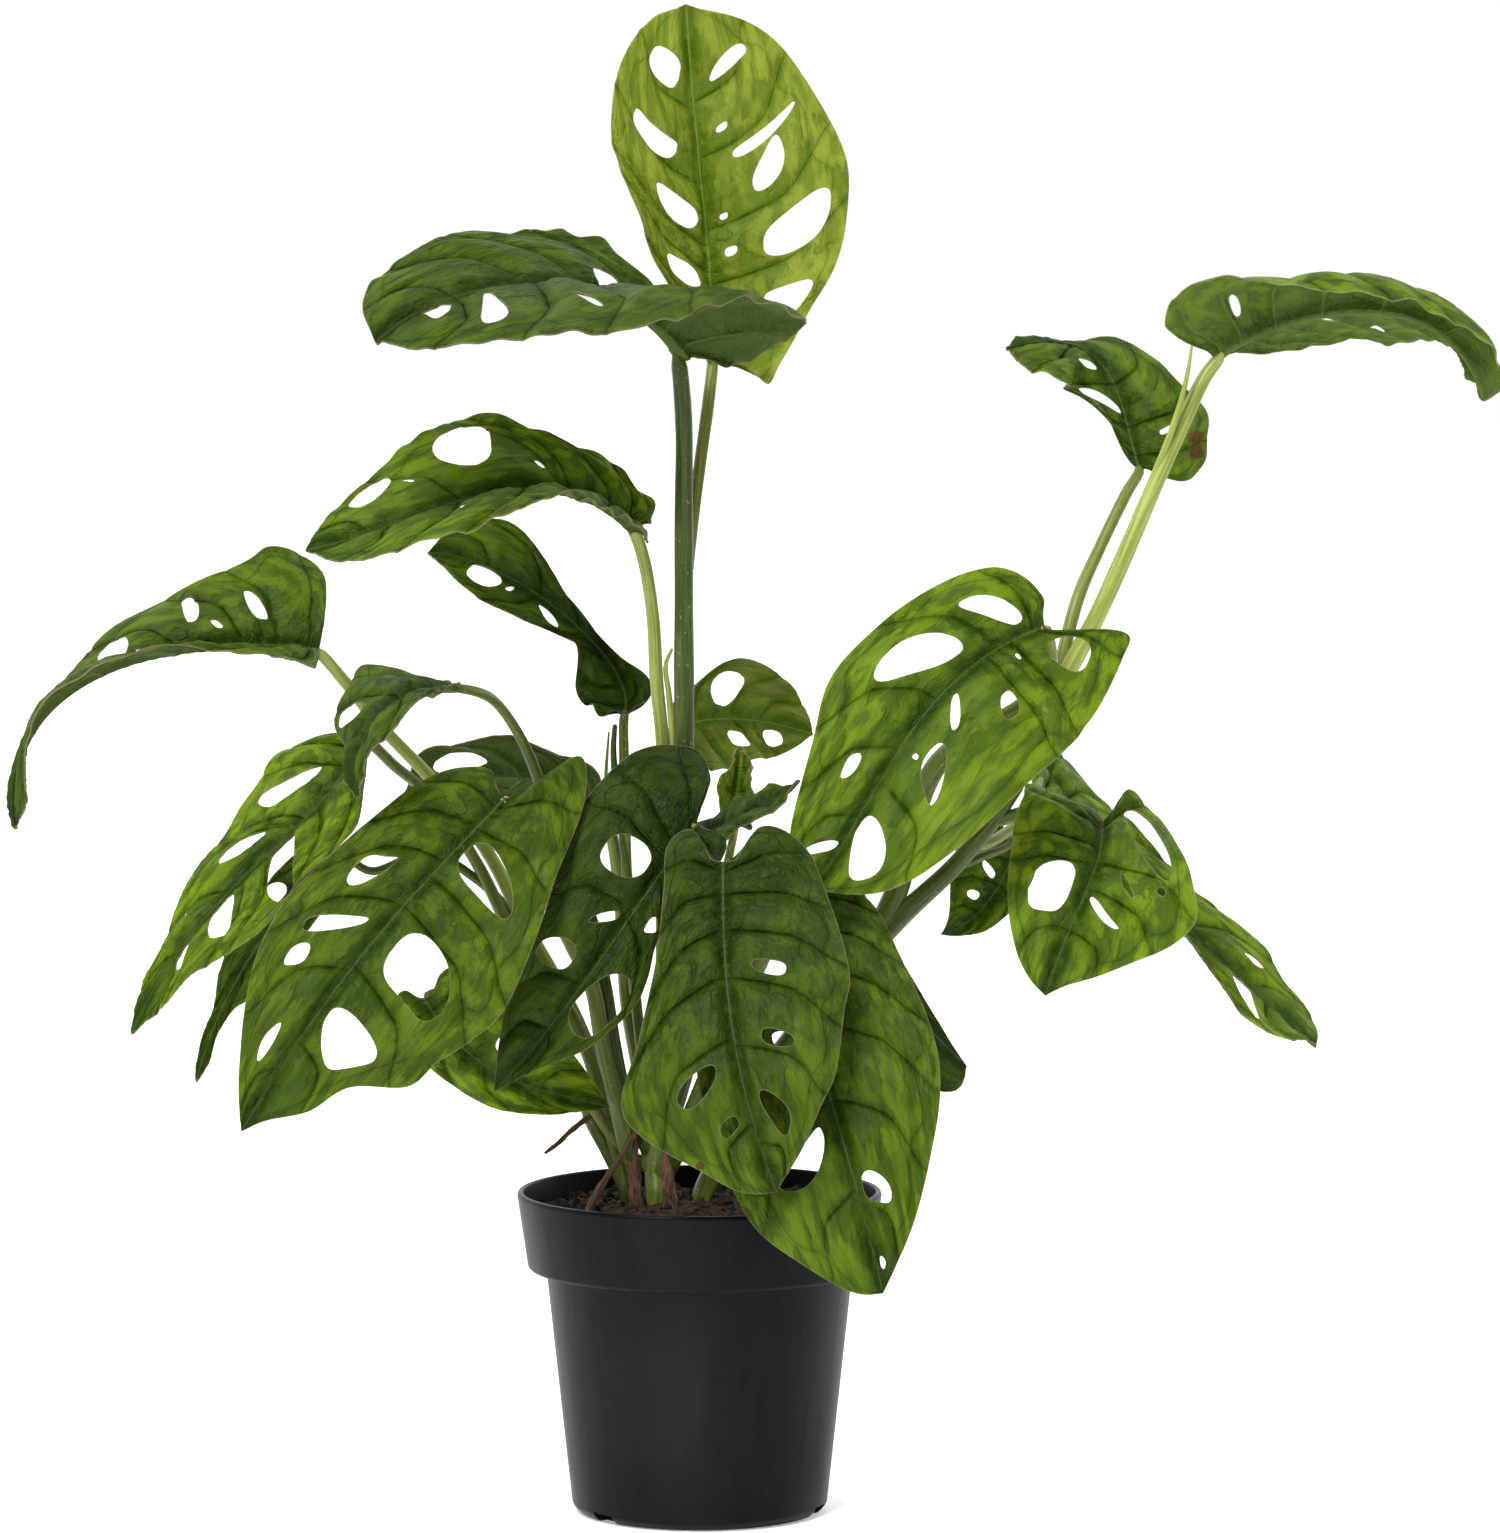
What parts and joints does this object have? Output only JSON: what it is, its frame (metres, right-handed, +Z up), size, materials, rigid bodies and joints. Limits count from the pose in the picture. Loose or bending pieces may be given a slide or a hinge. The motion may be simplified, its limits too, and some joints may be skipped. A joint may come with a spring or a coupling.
{
  "type": "potted monstera adansonii",
  "caption": "Small climbing houseplant with pointed oval leaves full of oval holes, growing from soil in a round tapered nursery pot with a deep rim band.",
  "frame": {"origin": "middle of the pot's flat base, at the height it rests on", "axes": "+Z up, +X to the right and +Y away from a viewer who faces the plant's front"},
  "size_m": [0.4844, 0.1819, 0.4943],
  "materials": {
    "leaf": "living leaf, mid green, satin cuticle",
    "young_leaf": "young living leaf, yellow green, satin cuticle",
    "stem": "living stem and petioles, pale green, smooth",
    "dry_stem": "dry brown leaf stalk, sheath and root",
    "soil": "loose dark brown peat potting soil",
    "pot": "moulded black polypropylene, satin"
  },
  "bodies": {
    "root": {"leaf_01_top": "young_leaf", "leaf_02_upper_left": "leaf", "leaf_03_upper_right": "leaf", "leaf_04_arched": "leaf", "leaf_05_big_right": "leaf", "leaf_06_hanging_right": "leaf", "leaf_07_low_right": "leaf", "leaf_08_front_low": "leaf", "leaf_09_front_middle": "leaf", "leaf_10_middle_left": "leaf", "leaf_11_front_left": "leaf", "leaf_12_back_left": "leaf", "leaf_13_behind_left": "leaf", "leaf_14_small_bow": "leaf", "leaf_15_far_left": "leaf", "leaf_16_ruffled_left": "leaf", "leaf_17_twisted_left": "leaf", "leaf_18_small_middle": "young_leaf", "leaf_19_small_inner": "leaf", "leaf_20_unrolling": "young_leaf", "leaf_21_back_arch": "leaf", "leaf_22_low_left": "leaf", "leaf_23_low_middle": "leaf", "leaf_24_low_behind": "leaf", "stem_left": "stem", "stem_middle": "stem", "stem_right": "stem", "dry_stalk": "dry_stem", "dry_sheath": "dry_stem", "dry_stub": "dry_stem", "dry_root": "dry_stem", "pot": "pot", "soil": "soil"}
  },
  "joints": []
}
